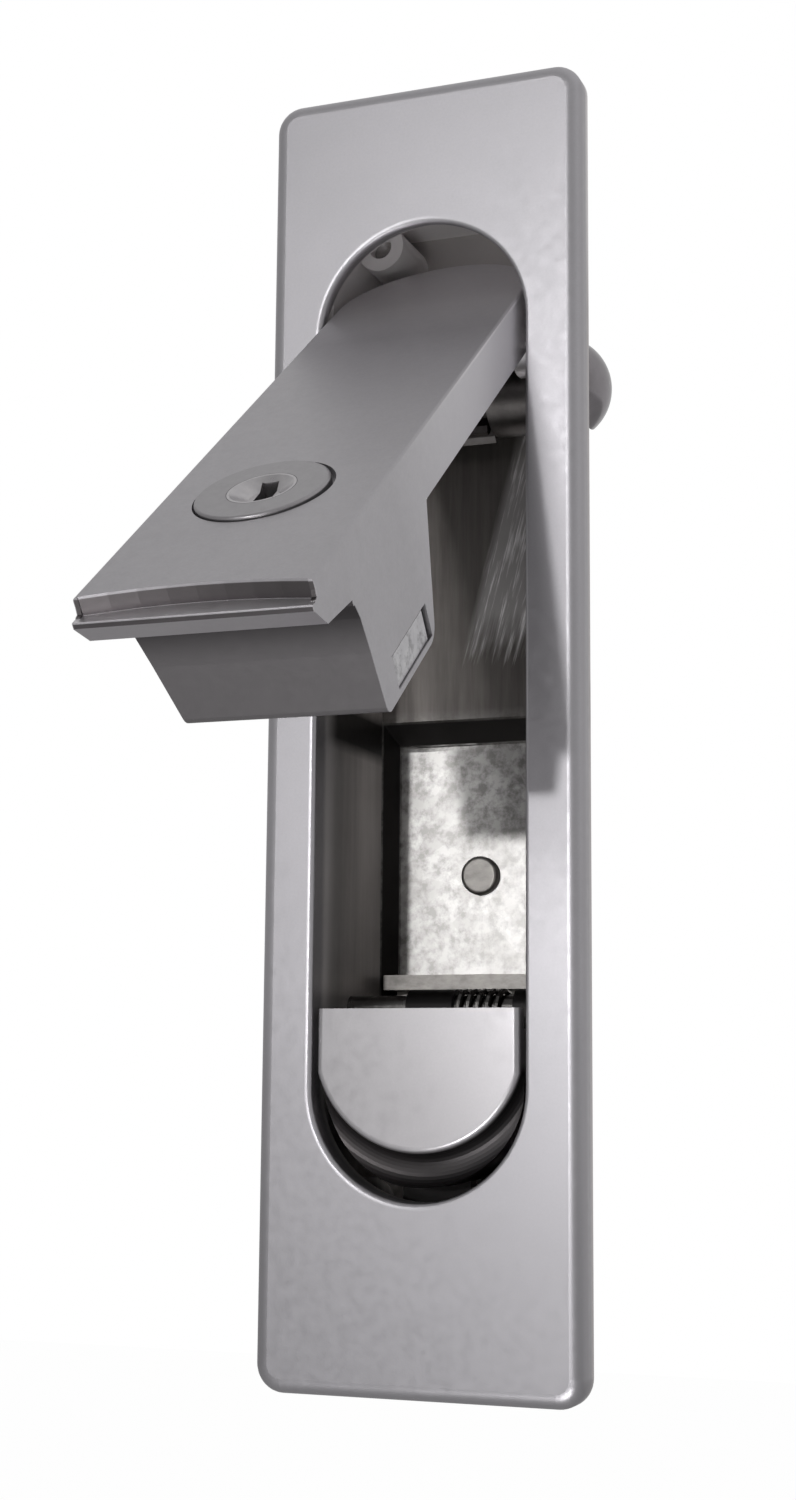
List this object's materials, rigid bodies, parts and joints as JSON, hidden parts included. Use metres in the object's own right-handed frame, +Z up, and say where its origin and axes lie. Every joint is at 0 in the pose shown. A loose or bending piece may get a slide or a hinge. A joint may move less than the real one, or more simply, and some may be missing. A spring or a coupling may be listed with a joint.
{
  "type": "server rack lock",
  "caption": "Flush pop-up handle lock with a key cylinder, side bolt, rocking push button and a toothed crank that pulls the locking rods.",
  "frame": {"origin": "centre of the plate's rear face, which lies on the door", "axes": "+Y points out of the plate's rear face into the door, +Z points up along the plate, towards the handle's hinge, and +X points to the right seen from the front"},
  "size_m": [0.038, 0.0915, 0.15],
  "materials": {
    "die_cast": "satin",
    "sheet_steel": "galvanised",
    "bright_steel": "bright",
    "spring_steel": "drawn wire",
    "dark_steel": "blackened"
  },
  "bodies": {
    "housing": {"lock_housing": "die_cast", "back_plate": "sheet_steel", "back_screws": "bright_steel", "guide_rivet": "spring_steel", "rod_guide": "sheet_steel", "stop_bracket": "sheet_steel", "travel_stop": "sheet_steel", "bracket_rivets": "spring_steel", "handle_pin": "bright_steel", "handle_spring": "spring_steel", "drive_pin": "bright_steel", "pin_washer": "bright_steel", "drive_clip": "dark_steel", "button_pin": "bright_steel", "button_spring": "spring_steel"},
    "swing_handle": {"handle": "die_cast", "cylinder_body": "bright_steel", "cylinder_screw": "dark_steel"},
    "plug": {"key_plug": "bright_steel", "bolt_driver": "spring_steel"},
    "locking_bolt": {"side_bolt": "sheet_steel"},
    "crank": {"drive_crank": "dark_steel", "rod_pin": "bright_steel", "rod_clips": "dark_steel"},
    "button": {"push_button": "die_cast"}
  },
  "joints": [
    {"name": "handle_open", "type": "hinge", "parent": "housing", "child": "swing_handle", "pos_m": [0, 0.0027, 0.04425], "axis": [-1, 0, 0], "range_deg": [-51.7, 28.3], "stiffness_Nm_per_rad": 0.4, "springref_deg": 2.86, "deforming": ["handle_spring"]},
    {"name": "drive_turn", "type": "hinge", "parent": "housing", "child": "crank", "pos_m": [0, 0.01163, 0.041], "axis": [-1, 0, 0], "range_deg": [-28.3, 51.7]},
    {"name": "button_press", "type": "hinge", "parent": "housing", "child": "button", "pos_m": [0, 0.0084, -0.0326], "axis": [1, 0, 0], "range_deg": [0, 10], "stiffness_Nm_per_rad": 0.15, "springref_deg": -11.46, "deforming": ["button_spring"]},
    {"name": "key_turn", "type": "hinge", "parent": "swing_handle", "child": "plug", "pos_m": [-0.0009, -0.04472, 0.01483], "axis": [0, -0.6198, 0.7848], "range_deg": [0, 90]},
    {"name": "bolt_slide", "type": "slide", "parent": "swing_handle", "child": "locking_bolt", "axis": [1, 0, 0], "range_m": [0, 0.003]}
  ],
  "couplings": [
    {"joint": "drive_turn", "follows": "handle_open", "ratio": -1},
    {"joint": "key_turn", "follows": "bolt_slide", "rad_per_m": 523.5}
  ]
}
